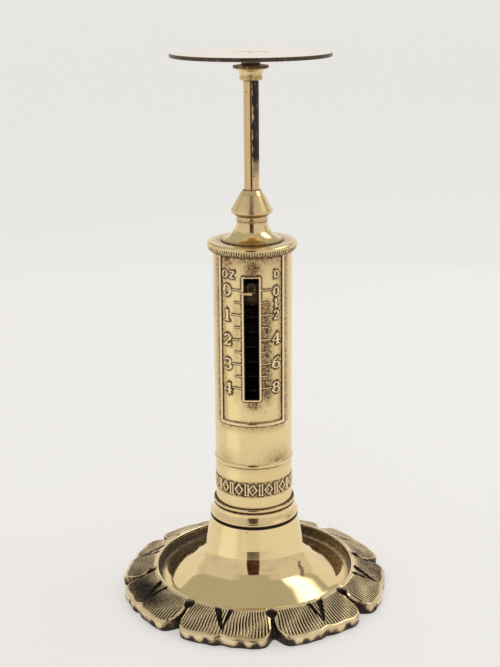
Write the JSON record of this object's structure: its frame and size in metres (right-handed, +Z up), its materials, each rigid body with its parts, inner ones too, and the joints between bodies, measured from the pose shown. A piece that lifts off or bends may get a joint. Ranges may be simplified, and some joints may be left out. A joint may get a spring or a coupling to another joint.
{
  "type": "candlestick letter scale",
  "caption": "Spring letter scale: a round pan on a rod that slides down into a slotted, graduated column, on a trumpet foot with a petalled rim.",
  "frame": {"origin": "on the column's axis, at the level surface that the petalled foot stands on", "axes": "+Z up along the column; the slot and scale face -Y; +X to the right of someone who reads the scale"},
  "size_m": [0.0826, 0.0826, 0.16],
  "materials": {
    "cast_brass": "cast and hand-finished brass with fine radial ribs, dark in the hollows, edges worn bright",
    "spun_brass": "spun and polished brass, soft turning lines, darker towards the dish's wall",
    "turned_brass": "turned and polished brass, dark tarnish in the grooves",
    "column_brass": "polished drawn tube with a sunk scale panel, brown tarnish round the raised marks",
    "pan_brass": "mirror-polished sheet brass with fine wear scratches and a dark edge",
    "blackened_steel": "oiled, blackened spring wire",
    "leather": "dark compressed leather"
  },
  "bodies": {
    "stand": {"petal_rim": "cast_brass", "dish_foot": "spun_brass", "foot_ring_nut": "turned_brass", "foot_collar": "turned_brass", "tube_socket": "turned_brass", "column_tube": "column_brass", "tube_bead": "turned_brass", "slot_frame": "column_brass", "milled_cap_ring": "turned_brass", "cap_finial": "turned_brass", "spring_seat": "turned_brass", "spring": "blackened_steel"},
    "weigher": {"rod": "turned_brass", "pan": "pan_brass", "pan_boss": "turned_brass", "pan_rivet": "pan_brass", "carrier": "turned_brass", "stop_washer": "leather", "rod_nut": "turned_brass", "pointer": "turned_brass", "pointer_screw": "turned_brass"}
  },
  "joints": [
    {"name": "pan_slide", "type": "slide", "parent": "stand", "child": "weigher", "axis": [0, 0, -1], "range_m": [0, 0.03], "stiffness_N_per_m": 38.4, "springref_m": -0.00995, "deforming": ["spring"]}
  ]
}
